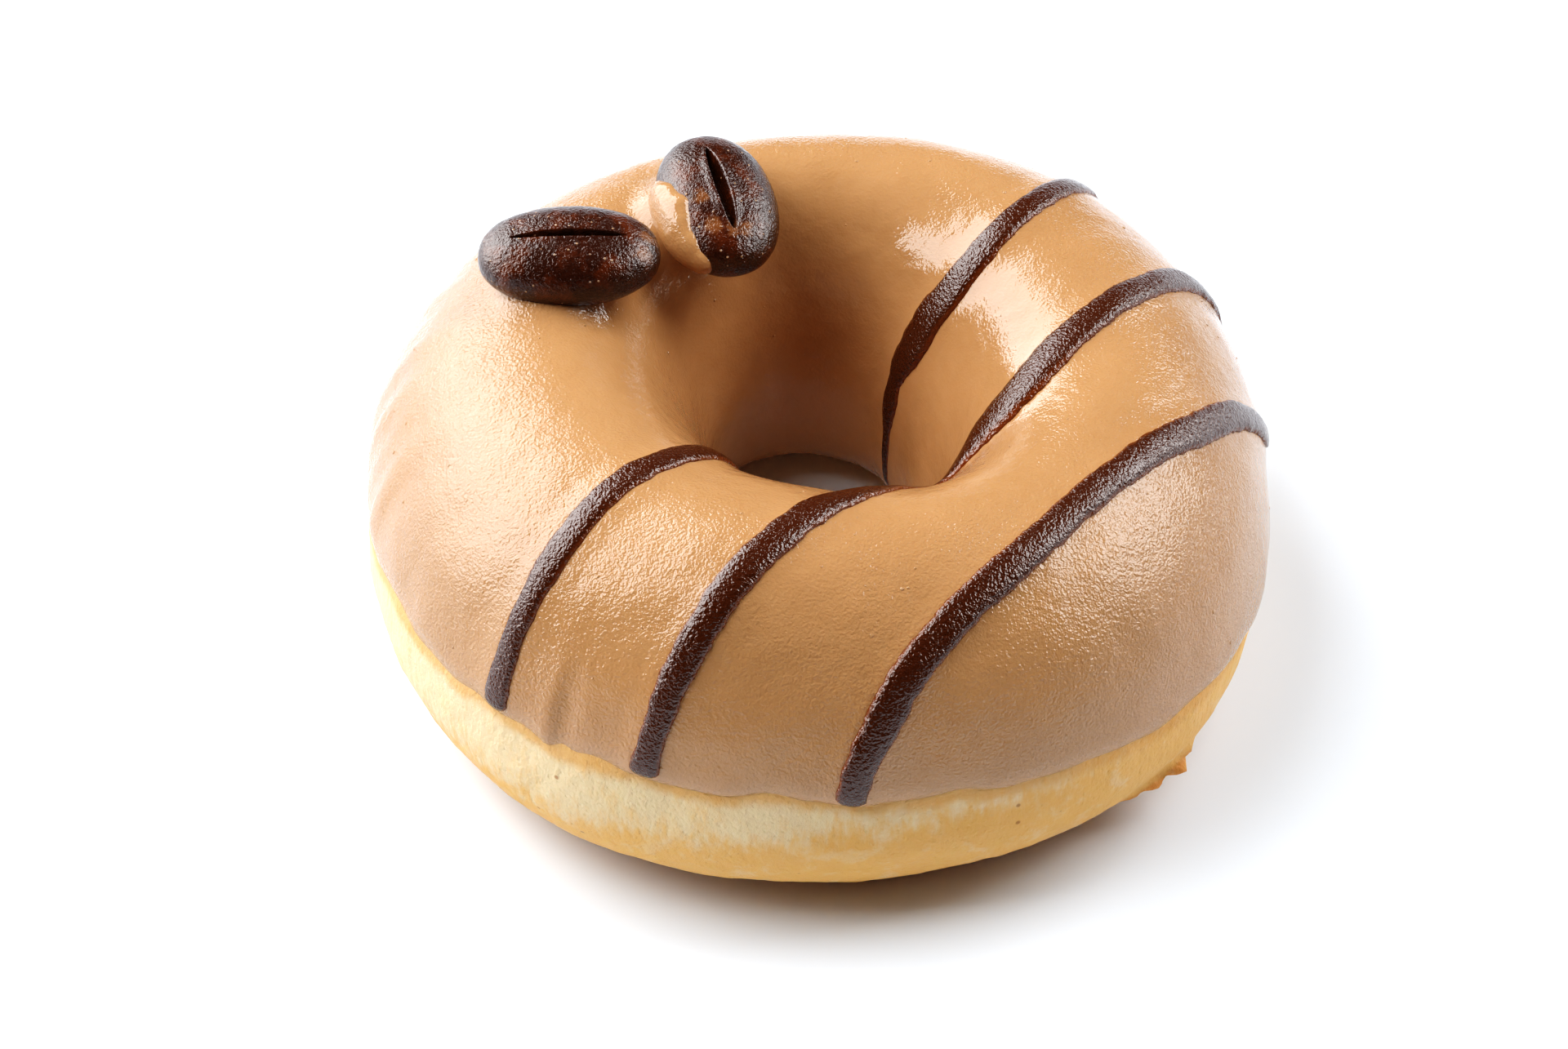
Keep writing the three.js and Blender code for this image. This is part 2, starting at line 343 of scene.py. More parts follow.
# %% Write the icing's edge
OUTER_EDGE = 1
OUTER_EDGE_WAVES = [(1, 11.3, -123), (2, 2.5, 79), (3, 1.5, -38)]
SCALLOPS = [(11, 0.45, 5), (17, 0.5, 11), (29, 0.35, 2), (43, 0.25, 4)]
INNER_EDGE = 217
FOLD_PLACE = 235
FOLD_DROP = 1.8
DROP_NEAR_FOLD = (2, 3.2)


def near_fold(theta, place, reach):
    """1 at a place that is given in degrees from the front left's fold, fading over its reach."""
    past_fold = np.degrees(np.mod(theta, 2 * np.pi)) - FOLD_PLACE
    return np.exp(-((past_fold - place) / reach) ** 2)


def lower_edge(theta):
    drop = FOLD_DROP * near_fold(theta, *DROP_NEAR_FOLD)
    return np.radians(OUTER_EDGE + waves(OUTER_EDGE_WAVES, theta) + waves(SCALLOPS, theta) - drop)


def hole_edge(theta):
    return np.radians(INNER_EDGE + waves(SCALLOPS, theta + 1))


edge = np.degrees(lower_edge(np.linspace(0, 2 * np.pi, 360)))
edge_range = [round(float(end), 1) for end in (edge.min(), edge.max())]
print("the icing ends between", edge_range[0], "and", edge_range[1], "degrees")

# %% [markdown]
# ## Meshes that go round
# A ring-shaped piece is a grid that closes on itself both ways: rows round the ring, and points round
# the section. The same helper makes the dough and the icing. Each point also keeps a few numbers that
# the materials use, such as how far it is from the icing's edge.

# %% Write the ring mesh helper


def mesh_object(name, points, faces, edges=(), **numbers):
    """A mesh object in metres from points in millimetres, with one named number for each point."""
    mesh = bpy.data.meshes.new(name)
    mesh.from_pydata((points.reshape(-1, 3) * MM).tolist(), list(edges), list(faces))
    for label, values in numbers.items():
        layer = mesh.attributes.new(label, "FLOAT", "POINT")
        layer.data.foreach_set("value", np.asarray(values, np.float32).ravel())
    mesh.update()
    shape = bpy.data.objects.new(name, mesh)
    bpy.context.scene.collection.objects.link(shape)
    return shape


def grid_faces(rows, columns, close_rows=True):
    """Quads between neighbouring rows and columns. The columns always close on themselves."""
    i = np.arange(rows if close_rows else rows - 1)[:, None]
    j = np.arange(columns)[None, :]
    a = i * columns + j
    b = (i + 1) % rows * columns + j
    c = (i + 1) % rows * columns + (j + 1) % columns
    d = i * columns + (j + 1) % columns
    return np.stack([a, b, c, d], -1).reshape(-1, 4).tolist()


print("3 rows of 4 points that close on themselves make", len(grid_faces(3, 4)), "faces")

# %% [markdown]
# ## The dough's material
# Fried yeast dough is pale where the ring floated out of the oil, and golden to orange below that. A
# thin amber line runs right under the icing. The crust is matt, with fine pores and small flakes.
# Colour follows height, broken up by noise, and the pores and streaks are bump. A little light goes
# under the surface, as in all bread.

# %% Write the material helpers


def paint(red, green, blue):
    """A screen colour, 0 to 255, as the linear colour that shaders use."""
    def linear(value):
        value = value / 255
        return value / 12.92 if value <= 0.04045 else ((value + 0.055) / 1.055) ** 2.4
    return (linear(red), linear(green), linear(blue), 1)


def new_material(name, slot_colour):
    material = bpy.data.materials.new(name)
    material.use_nodes = True
    material.diffuse_color = slot_colour
    tree = material.node_tree
    surface = tree.nodes["Principled BSDF"]
    place = put(tree, "ShaderNodeTexCoord").outputs["Object"]
    return material, tree, surface, place


def mix_colours(tree, factor, first, second):
    """One colour over another. A Mix node keeps its colour sockets after those for other kinds."""
    node = tree.nodes.new("ShaderNodeMix")
    node.data_type = "RGBA"
    for number, value in ((0, factor), (6, first), (7, second)):
        socket = node.inputs[number]
        if isinstance(value, bpy.types.NodeSocket):
            tree.links.new(value, socket)
        else:
            socket.default_value = value
    return node.outputs[2]


def bump(tree, height, depth, under=None):
    """Bump of the given depth in metres, on top of the bump under it."""
    node = put(tree, "ShaderNodeBump", {"Height": height, "Distance": depth, "Strength": 1.0})
    if under is not None:
        tree.links.new(under, node.inputs["Normal"])
    return node.outputs[0]


def dots(tree, place, cell, share, size):
    """Round dots: one in each cell of about that size, kept only in the given share of the cells."""
    inputs = {"Vector": place, "Scale": 1 / cell, "Randomness": 1.0}
    cells = put(tree, "ShaderNodeTexVoronoi", inputs)
    dot = span(tree, cells.outputs["Distance"], size, size * 0.4)
    chosen = put(tree, "ShaderNodeSeparateColor", {0: cells.outputs["Color"]}).outputs[0]
    kept = calc(tree, "LESS_THAN", chosen, share)
    return calc(tree, "MULTIPLY", dot, kept)


def point_number(tree, name):
    return put(tree, "ShaderNodeAttribute", attribute_name=name).outputs["Fac"]


def moved(tree, place, by):
    return vector_calc(tree, "ADD", place, by)


def mixed(material):
    print(material.name, "is mixed from", len(material.node_tree.nodes), "nodes")
    return material


material_helpers = (paint, new_material, mix_colours, bump, dots, point_number, moved, mixed)
print("material helpers:", [helper.__name__ for helper in material_helpers])

# %% Mix the dough's material
PALE_CRUMB = paint(228, 202, 158)
GOLDEN_CRUST = paint(226, 172, 98)
FRIED_CRUST = paint(208, 140, 66)
AMBER_LINE = paint(214, 152, 76)
DEEP_BROWN = paint(150, 88, 34)
CRUST_CLOUD = 9 * MM
CRUST_PATCH = 3.2 * MM
CRUST_STREAK = 0.9 * MM
STREAK_STRETCH = (1.0, 1.0, 0.3)
CRUST_PORE = 0.8 * MM
CRUST_GRAIN = 0.45 * MM
BROWN_SPECK = 2.1 * MM


def dough_material():
    material, tree, surface, place = new_material("fried_dough", GOLDEN_CRUST)
    clouds = noise(tree, place, CRUST_CLOUD, 4, 0.6)
    patches = noise(tree, moved(tree, place, (0.3, 0.1, 0.2)), CRUST_PATCH, 5, 0.65)
    streaks = noise(tree, vector_calc(tree, "MULTIPLY", place, STREAK_STRETCH), CRUST_STREAK, 4, 0.6)
    low = calc(tree, "ADD", point_number(tree, "golden"), calc(tree, "MULTIPLY", clouds, 0.9))
    low = calc(tree, "ADD", low, calc(tree, "MULTIPLY", calc(tree, "SUBTRACT", streaks, 0.5), 1.1))
    crust = mix_colours(tree, span(tree, low, 0.45, 1.1), PALE_CRUMB, GOLDEN_CRUST)
    lower = calc(tree, "ADD", point_number(tree, "fried"), calc(tree, "MULTIPLY", patches, 1.1))
    crust = mix_colours(tree, span(tree, lower, 0.85, 1.5), crust, FRIED_CRUST)
    flakes = span(tree, patches, 0.52, 0.66, 0.0, 0.35)
    crust = mix_colours(tree, flakes, crust, PALE_CRUMB)
    ragged = calc(tree, "MULTIPLY", patches, 1.6)
    under_edge = calc(tree, "SUBTRACT", point_number(tree, "past_edge"), ragged)
    crust = mix_colours(tree, span(tree, under_edge, -0.6, 0.6, 0.75, 0.0), crust, AMBER_LINE)
    specks = dots(tree, place, BROWN_SPECK, 0.12, 0.16)
    crust = mix_colours(tree, calc(tree, "MULTIPLY", specks, 0.7), crust, DEEP_BROWN)
    tree.links.new(crust, surface.inputs["Base Color"])
    pores = put(tree, "ShaderNodeTexVoronoi", {"Vector": place, "Scale": 1 / CRUST_PORE})
    grain = noise(tree, place, CRUST_GRAIN, 3, 0.7)
    relief = bump(tree, patches, 0.5 * MM)
    relief = bump(tree, streaks, 0.16 * MM, relief)
    relief = bump(tree, span(tree, pores.outputs["Distance"], 0.0, 0.35), 0.05 * MM, relief)
    relief = bump(tree, grain, 0.06 * MM, relief)
    tree.links.new(relief, surface.inputs["Normal"])
    tree.links.new(span(tree, clouds, 0.3, 0.7, 0.5, 0.72), surface.inputs["Roughness"])
    surface.inputs["Subsurface Weight"].default_value = 0.25
    surface.inputs["Subsurface Radius"].default_value = (1.0, 0.5, 0.25)
    surface.inputs["Subsurface Scale"].default_value = 2.5 * MM
    surface.inputs["Specular IOR Level"].default_value = 0.35
    return material


DOUGH = mixed(dough_material())

# %% [markdown]
# ## The dough ring
# The dough lies just under the icing, and swells out past the icing's lip to the full skin. Its grid
# has many points on the bare band and the underside, and few under the icing, where nobody looks.

# %% Shape the dough ring
RING_STEPS = 420
BARE_STEPS = 96
ICED_STEPS = 26
SWELL_SPAN = math.radians(20)
LIP_STEP = 0.38
UNDER_ICING = 0.3
TUCK_SPAN = math.radians(3)
MM_FOR_RADIAN = 17


def smooth_step(value, low, high):
    t = np.clip((value - low) / (high - low), 0, 1)
    return t * t * (3 - 2 * t)


def ring_angles(rows):
    return np.arange(rows) / rows * 2 * np.pi


def dough_points():
    """Theta, millimetres past the icing's edge and the point itself, for the whole grid."""
    theta = ring_angles(RING_STEPS)[:, None]
    outside = lower_edge(theta)
    inside = hole_edge(theta)
    iced = np.linspace(0, 1, ICED_STEPS)[None, :]
    bare = np.linspace(0, 1, BARE_STEPS + 2)[None, 1:-1]
    phi = np.concatenate([outside + (inside - outside) * iced,
                          inside + (outside + 2 * np.pi - inside) * bare], 1)
    theta = np.broadcast_to(theta, phi.shape)
    turned = np.where(phi > 1.5 * np.pi, phi - 2 * np.pi, phi)
    past_edge = np.maximum(outside - turned, turned - inside)
    under_icing = LIP_STEP + UNDER_ICING * smooth_step(-past_edge, 0, TUCK_SPAN)
    bare_inset = LIP_STEP * (1 - smooth_step(past_edge, 0, SWELL_SPAN))
    inset = np.where(past_edge <= 0, under_icing, bare_inset)
    points = lifted(theta, phi, -inset)
    return theta, past_edge * MM_FOR_RADIAN, points


theta, past_edge, points = dough_points()
print("the dough's grid has", theta.shape[0], "rows of", theta.shape[1], "points")

# %% [markdown]
# ## The torn crust
# Low on the front right a bit of crust was torn as the ring was turned in the oil, and fried hard. It
# could be a piece of its own, but a torn crust is still part of the dough, so a few crumbs are pushed
# straight out of the grid.

# %% Tear the crust
TAG_PLACE = (math.radians(323), math.radians(-30))
TAG_REACH = 12
TAG_CRUMBS = [(0, 0, 1.3, 1.0, 2.0), (-2.4, -1.0, 1.6, 0.8, 1.5), (1.5, 1.5, 0.8, 0.9, 0.8),
              (-4.4, -1.6, 1.0, 0.7, 0.9)]


def crust_tag(theta, points):
    """Crumbs given as millimetres aside, up, wide and high, and how far each one stands out."""
    centre = lifted(np.array(TAG_PLACE[0]), np.array(TAG_PLACE[1]), 0.0)
    across = np.array([-math.sin(TAG_PLACE[0]), math.cos(TAG_PLACE[0]), 0])
    away = points - centre
    near = np.linalg.norm(away, axis=-1) < TAG_REACH
    bulge = 0
    for aside, up, wide, high, stands in TAG_CRUMBS:
        sideways = (away @ across - aside) / wide
        upwards = (away[..., 2] - up) / high
        bulge = np.maximum(bulge, stands * np.exp(-sideways ** 2 - upwards ** 2) * near)
    outwards = np.stack([np.cos(theta), np.sin(theta), np.zeros(theta.shape)], -1)
    return points + outwards * bulge[..., None], np.minimum(bulge, 1)


points, torn = crust_tag(theta, points)
print("the torn crust moves", int(np.count_nonzero(torn > 0.1)), "points")

# %% [markdown]
# ## The dough's browning
# The ring lay deeper in the oil on its right, so it is golden higher up there. Two numbers for each
# point say how golden and how fried it is, and the material reads them.

# %% Brown the dough
BROWNEST = math.radians(-20)
GOLDEN_RISE = 10
GOLDEN_HEIGHTS = (2, 13)
FRIED_HEIGHTS = (1, 7)

height = points[..., 2]
rightness = 0.5 + 0.5 * np.cos(theta - BROWNEST)
golden = 1.0 - smooth_step(height - GOLDEN_RISE * rightness, *GOLDEN_HEIGHTS)
fried = (1.0 - smooth_step(height, *FRIED_HEIGHTS)) * (0.75 + 0.4 * rightness) + torn
dough = mesh_object("dough", points, grid_faces(*theta.shape), golden=golden, fried=fried,
                    past_edge=past_edge)
print("the dough is golden at", int(np.count_nonzero(golden > 0.5)), "of", golden.size, "points")

# %% [markdown]
# ## The dough's crust
# Frying leaves soft lumps and a rough crust. They could be sculpted, but they follow a rule all over
# the surface, so Geometry Nodes push it in and out by noise. Where the ring rests, it stays flat.

# %% Roughen the dough's crust


def relief_along_normal(tree, geometry, layers, share=None):
    """Moves the surface along its normal by layers of noise: a size, a height and an offset each."""
    place = put(tree, "GeometryNodeInputPosition").outputs[0]
    normal = put(tree, "GeometryNodeInputNormal").outputs[0]
    total = None
    for size, tall, offset in layers:
        inputs = {"Vector": moved(tree, place, offset), "Scale": calc(tree, "DIVIDE", 1.0, size),
                  "Detail": 2.0}
        cloud = put(tree, "ShaderNodeTexNoise", inputs).outputs[0]
        swing = calc(tree, "MULTIPLY", tall, 2.0)
        rise = calc(tree, "MULTIPLY", calc(tree, "SUBTRACT", cloud, 0.5), swing)
        total = rise if total is None else calc(tree, "ADD", total, rise)
    if share is not None:
        total = calc(tree, "MULTIPLY", total, share)
    inputs = {0: geometry, "Offset": scaled(tree, normal, total)}
    return put(tree, "GeometryNodeSetPosition", inputs).outputs[0]


def crust_tree():
    inputs = {"Lump Size": "Float", "Lump Height": "Float", "Crumb Size": "Float",
              "Crumb Height": "Float", "Crust": "Material"}
    tree, given = geometry_tree("baked_crust", inputs)
    layers = [(given["Lump Size"], given["Lump Height"], (0.1, 0.2, 0.3)),
              (given["Crumb Size"], given["Crumb Height"], (0.5, 0.1, 0.7))]
    place = put(tree, "GeometryNodeInputPosition").outputs[0]
    height = put(tree, "ShaderNodeSeparateXYZ", {0: place}).outputs[2]
    off_table = span(tree, height, 0.1 * MM, 1.5 * MM)
    rough = relief_along_normal(tree, given["Geometry"], layers, off_table)
    moved_place = put(tree, "GeometryNodeInputPosition").outputs[0]
    now = put(tree, "ShaderNodeSeparateXYZ", {0: moved_place}).outputs
    above_table = calc(tree, "MAXIMUM", now[2], 0.0)
    kept = put(tree, "ShaderNodeCombineXYZ", {0: now[0], 1: now[1], 2: above_table}).outputs[0]
    rough = put(tree, "GeometryNodeSetPosition", {0: rough, "Position": kept}).outputs[0]
    close_tree(tree, rough, given["Crust"])
    return tree


grow(dough, crust_tree(), {"Lump Size": 9 * MM, "Lump Height": 0.35 * MM, "Crumb Size": 1.6 * MM,
                           "Crumb Height": 0.12 * MM, "Crust": DOUGH})
ready(dough, "dough_ring", "dough")

# %% [markdown]
# ## The chocolate beans
# Each bean is one moulded chocolate, dark and nearly black, and a little redder where it is rubbed. It
# has the fine grain of its mould, crumbs of icing sit on it as pale specks, and a little icing was
# smeared on its near end.

# %% Mix the beans' material
BEAN_DARK = paint(52, 21, 7)
BEAN_WARM = paint(86, 38, 11)
BEAN_SPECK = paint(196, 158, 122)
BEAN_SMEAR = paint(128, 80, 44)
BEAN_CLOUD = 2.5 * MM
BEAN_GRAIN = 0.34 * MM
BEAN_CRUMB = 0.7 * MM
SMEAR_STREAK = 0.9 * MM


def bean_material():
    material, tree, surface, place = new_material("bean_chocolate", BEAN_DARK)
    clouds = noise(tree, place, BEAN_CLOUD, 4, 0.6)
    grain = noise(tree, place, BEAN_GRAIN, 2, 0.65)
    colour = mix_colours(tree, span(tree, clouds, 0.42, 0.72), BEAN_DARK, BEAN_WARM)
    specks = dots(tree, place, BEAN_CRUMB, 0.22, 0.22)
    colour = mix_colours(tree, calc(tree, "MULTIPLY", specks, 0.7), colour, BEAN_SPECK)
    streaks = noise(tree, place, SMEAR_STREAK, 4, 0.65)
    uneven = calc(tree, "MULTIPLY", point_number(tree, "smear"), streaks)
    colour = mix_colours(tree, span(tree, uneven, 0.22, 0.5, 0.0, 0.75), colour, BEAN_SMEAR)
    tree.links.new(colour, surface.inputs["Base Color"])
    relief = bump(tree, clouds, 0.05 * MM)
    relief = bump(tree, grain, 0.16 * MM, relief)
    relief = bump(tree, specks, 0.05 * MM, relief)
    tree.links.new(relief, surface.inputs["Normal"])
    tree.links.new(span(tree, grain, 0.35, 0.7, 0.10, 0.18), surface.inputs["Roughness"])
    surface.inputs["Specular IOR Level"].default_value = 0.6
    return material


BEAN_CHOCOLATE = mixed(bean_material())

# %% [markdown]
# ## The beans' shape
# A bean is one smooth oval with a crease pressed along its top. It could be sculpted from a sphere,
# but an oval and a crease are both short formulas, so the bean is a grid of stations along its length
# with points round each. The crease opens like a lens, its lips stand up a little, and the points
# crowd close to it to keep it sharp.

# %% Shape a bean
BEAN_HEIGHT = 8.4
BEAN_BLUNTNESS = 0.43
CREASED_FACE_SHARE = 0.92
CREASE_CROWDING = 1.7
SMALLEST_GAPE = 0.05
DIP = 0.35
DIP_REACH = 1.6
STATIONS = 110
ROUND = 150


def bean_shape(length, width, crease_length, gape, depth, lip):
    """A bean along X with its crease up, in millimetres."""
    turn = np.linspace(0, np.pi, STATIONS + 2)[1:-1][:, None]
    x = -np.cos(turn) * length / 2
    girth = (1 - (2 * x / length) ** 2) ** BEAN_BLUNTNESS
    around = np.linspace(-1, 1, ROUND, endpoint=False)[None, :]
    angle = np.pi * np.sign(around) * np.abs(around) ** CREASE_CROWDING
    face = np.where(np.cos(angle) > 0, CREASED_FACE_SHARE, 1)
    y = np.sin(angle) * width / 2 * girth
    z = np.cos(angle) * BEAN_HEIGHT / 2 * girth * face
    top = np.cos(angle) > 0
    open_share = np.sqrt(np.clip(1 - (2 * x / crease_length) ** 2, 0, 1))
    half_gape = np.maximum(gape * open_share, SMALLEST_GAPE) / 2
    cut = depth * open_share ** 0.7 * np.exp(-np.abs(y / half_gape) ** 3)
    rim = lip * open_share * np.exp(-((np.abs(y) - half_gape * 1.6) / (half_gape + 0.15)) ** 2)
    dip = DIP * open_share * np.exp(-np.abs(y) / DIP_REACH)
    z = z + np.where(top, rim - cut - dip, 0)
    x = np.broadcast_to(x, z.shape)
    return np.stack([x, y, z], -1)


def bean_faces():
    faces = grid_faces(STATIONS, ROUND, close_rows=False)
    last = (STATIONS - 1) * ROUND
    faces.append(list(range(ROUND)))
    faces.append([last + k for k in reversed(range(ROUND))])
    return faces


print("a bean's grid has", STATIONS, "stations of", ROUND, "points, and", len(bean_faces()), "faces")

# %% [markdown]
# ## The two beans
# One bean lies across the view with its crease up. The other points to the hole and tips towards it.
# Each is made lying along X, then turned and set down, and that move goes into its mesh, so that the
# object itself stays at the origin. Noise gives it the dents and the grain of a mould.

# %% Write how a bean is set down


def smeared(points, spots):
    """How much icing was smeared on each point, from spots given as x, y and reach."""
    smear = np.zeros(points.shape[:-1])
    for x, y, reach in spots:
        away = np.hypot(points[..., 0] - x, points[..., 1] - y)
        smear = np.maximum(smear, np.exp(-(away / reach) ** 2) * (points[..., 2] > 0))
    return smear


def set_down(shape, centre, heading, tip, roll):
    """Turns a bean and puts it down. Its far end tips down, and it may roll to one side."""
    turned = (Matrix.Rotation(math.radians(heading), 4, "Z")
              @ Matrix.Rotation(math.radians(tip), 4, "Y")
              @ Matrix.Rotation(math.radians(roll), 4, "X"))
    shape.data.transform(Matrix.Translation(Vector(centre) * MM) @ turned)


def dented_tree():
    inputs = {"Dent Size": "Float", "Dent Height": "Float", "Grain Size": "Float",
              "Grain Height": "Float", "Finish": "Material"}
    tree, given = geometry_tree("dents_and_grain", inputs)
    layers = [(given["Dent Size"], given["Dent Height"], (0.1, 0.4, 0.2)),
              (given["Grain Size"], given["Grain Height"], (0.3, 0.6, 0.9))]
    close_tree(tree, relief_along_normal(tree, given["Geometry"], layers), given["Finish"])
    return tree


DENTED = dented_tree()
print(DENTED.name, "has", len(DENTED.nodes), "nodes")

# %% Make the two beans
BEANS = {
    "left": {"sizes": (18, 11, 11.3, 0.55, 1.5, 0.14), "place": ((-24.6, 9.9, 41.4), 3, 1, 9),
             "smears": [(7.4, -1.6, 1.1), (7.9, 0.4, 1.2)]},
    "right": {"sizes": (16.4, 12, 10, 0.95, 1.7, 0.32), "place": ((-10.1, 19.9, 39), -73, 13, -3),
              "smears": [(0.9, -2.4, 1.2), (4.2, -1.9, 1.3), (5.0, -0.2, 1.2), (5.2, 1.1, 1.2)]},
}
beans = {}
for side, bean in BEANS.items():
    points = bean_shape(*bean["sizes"])
    shape = mesh_object("coffee_bean_" + side + "_chocolate", points, bean_faces(),
                        smear=smeared(points, bean["smears"]))
    set_down(shape, *bean["place"])
    grow(shape, DENTED, {"Dent Size": 3.5 * MM, "Dent Height": 0.14 * MM, "Grain Size": 0.8 * MM,
                         "Grain Height": 0.035 * MM, "Finish": BEAN_CHOCOLATE})
    beans[side] = ready(shape, "coffee_bean_" + side, "bean_chocolate")

# %% [markdown]
# ## The icing's material
# Mocha icing is sugar, butter and coffee: glossy and opaque, but light goes a little way in, which
# warms its shadows. Its gloss isn't a mirror's. As the icing sets, the surface wrinkles like the
# peel of an orange, so that the edge of every highlight breaks up into sparks. Two sizes of bump do
# that, and the finer one is weaker over the crest and in the hole, where the icing ran smooth.
# Pinholes are burst air bubbles.

# %% Mix the icing's material
ICING_LIGHT = paint(181, 135, 92)
ICING_DARK = paint(173, 128, 86)
ICING_EDGE = paint(186, 143, 104)
PINHOLE = paint(70, 38, 18)
ICING_CLOUD = 14 * MM
ICING_MOTTLE = 1.2 * MM
PINHOLE_CELL = 2.6 * MM
WAVE_SIZE = 1.3 * MM
PEEL_SIZE = 0.32 * MM
PEEL_PATCH = 18 * MM
THIN_EDGE = 2.5


def icing_material():
    material, tree, surface, place = new_material("mocha_icing", ICING_LIGHT)
    clouds = noise(tree, place, ICING_CLOUD, 3, 0.55)
    fine = noise(tree, place, ICING_MOTTLE, 3, 0.6)
    colour = mix_colours(tree, span(tree, clouds, 0.3, 0.7), ICING_DARK, ICING_LIGHT)
    colour = mix_colours(tree, span(tree, fine, 0.3, 0.75, 0.0, 0.16), colour, ICING_EDGE)
    thin = span(tree, point_number(tree, "from_edge"), 0.0, THIN_EDGE, 0.55, 0.0)
    colour = mix_colours(tree, thin, colour, ICING_EDGE)
    holes = dots(tree, place, PINHOLE_CELL, 0.10, 0.045)
    colour = mix_colours(tree, calc(tree, "MULTIPLY", holes, 0.75), colour, PINHOLE)
    tree.links.new(colour, surface.inputs["Base Color"])
    waviness = noise(tree, place, WAVE_SIZE, 0.5, 0.5)
    peel = noise(tree, place, PEEL_SIZE, 1.0, 0.6)
    patches = noise(tree, moved(tree, place, (0.2, 0.5, 0.1)), PEEL_PATCH, 1)
    where = span(tree, patches, 0.3, 0.65, 0.6, 1.0)
    where = calc(tree, "MULTIPLY", where, point_number(tree, "rippled"))
    relief = bump(tree, waviness, 0.075 * MM)
    relief = bump(tree, calc(tree, "MULTIPLY", peel, where), 0.14 * MM, relief)
    relief = bump(tree, calc(tree, "SUBTRACT", 1.0, holes), 0.03 * MM, relief)
    tree.links.new(relief, surface.inputs["Normal"])
    tree.links.new(span(tree, clouds, 0.3, 0.7, 0.04, 0.07), surface.inputs["Roughness"])
    surface.inputs["Subsurface Weight"].default_value = 0.12
    surface.inputs["Subsurface Radius"].default_value = (1.0, 0.45, 0.2)
    surface.inputs["Subsurface Scale"].default_value = 1.6 * MM
    return material


MOCHA = mixed(icing_material())

# %% [markdown]
# ## Where the chocolate runs
# The lines are poured while the icing is still soft, so the icing rises a little along each of them.
# Both need the same paths, which come first: a few places round the ring for each line, as theta, phi
# and the width in millimetres, joined by a smooth curve.

# %% Write the lines' paths
STEPS_BETWEEN = 12
POUR_HEIGHT = 2.5
LINES = {
    "stripe_1_back": [
        (52, 12, 2.0), (50, 34, 2.3), (47.5, 60, 2.5), (46, 84, 2.5), (45.5, 104, 2.6),
        (46.5, 121, 2.9), (50, 134, 3.3), (53, 144, 3.2), (56, 151, 2.3), (57, 155, 1.6),
        (57.5, 160, 2.0), (58, 164, 1.8), (58, 169, 1.1), (58, 176, 0.8), (57.5, 184, 0.6),
        (57, 190, 0.5)],
    "stripe_1_front": [
        (210, 158, 1.2), (218, 146, 1.8), (225, 130, 2.3), (227.5, 116, 2.5), (227.5, 104, 2.4),
        (226, 86, 2.5), (226, 62, 2.6), (226, 40, 2.3), (226, 28, 2.4), (226, 14.5, 2.7)],
    "stripe_2": [
        (28, 8, 2.2), (26, 34, 2.5), (23.5, 54, 2.8), (18, 74.5, 3.0), (11.5, 90.5, 3.2),
        (3, 106.5, 3.9), (354, 118, 4.2), (346, 131, 3.9), (337, 138, 3.2), (327, 141, 2.7),
        (316, 140, 2.5), (306, 134.5, 2.4), (297, 127.5, 2.4), (288, 118, 2.4), (279, 107.5, 2.8),
        (270.5, 98, 3.1), (262.5, 84, 3.0), (256.5, 70.5, 3.0), (252.5, 56.5, 3.0),
        (250, 42.5, 3.0), (248.5, 29, 2.5), (247.3, 13.8, 2.8)],
    "stripe_3": [
        (13, 3, 1.8), (6.5, 15.5, 2.2), (1.5, 34, 2.7), (356, 48, 3.3), (343.5, 66, 3.4),
        (336.5, 72, 3.4), (328, 76, 3.3), (319.5, 76.5, 3.3), (310.5, 73.5, 3.3), (302, 68.5, 3.5),
        (294, 62, 3.4), (287.5, 54, 3.5), (282, 44.5, 3.5), (278, 33, 3.4), (275, 22, 3.1),
        (273.5, 10, 2.7)],
}


def smooth_path(knots):
    """A smooth run of values through the knots (a Catmull-Rom curve). Angles run on past 360."""
    values = np.array(knots, float)
    values[:, 0] = np.degrees(np.unwrap(np.radians(values[:, 0])))
    padded = np.vstack([2 * values[0] - values[1], values, 2 * values[-1] - values[-2]])
    run = []
    for a, b, c, d in zip(padded, padded[1:], padded[2:], padded[3:]):
        for t in np.arange(STEPS_BETWEEN) / STEPS_BETWEEN:
            run.append(0.5 * (2 * b + (c - a) * t + (2 * a - 5 * b + 4 * c - d) * t * t
                              + (3 * b - a - 3 * c + d) * t ** 3))
    return np.array(run + [values[-1]])


def path_object(name, knots):
    run = smooth_path(knots)
    points = lifted(np.radians(run[:, 0]), np.radians(run[:, 1]), np.full(len(run), POUR_HEIGHT))
    edges = [(i, i + 1) for i in range(len(points) - 1)]
    return mesh_object(name, points, [], edges, width=run[:, 2] * MM)


def lines_on_skin():
    """All the paths in one mesh on the skin, for the icing to rise along."""
    points = []
    edges = []
    for knots in LINES.values():
        run = smooth_path(knots)
        edges += [(len(points) + i, len(points) + i + 1) for i in range(len(run) - 1)]
        points += lifted(np.radians(run[:, 0]), np.radians(run[:, 1]), np.zeros(len(run))).tolist()
    return mesh_object("pour_paths", np.array(points), [], edges)


for name, knots in LINES.items():
    print(name, "has", len(smooth_path(knots)), "places along it")

# %% [markdown]
# ## The coat of icing
# The icing is one shell: its outside is the skin, its lower edge curls under in a small lip, and its
# inside lies in the dough. So its grid goes over the outside from edge to edge, and back through the
# dough with fewer points.

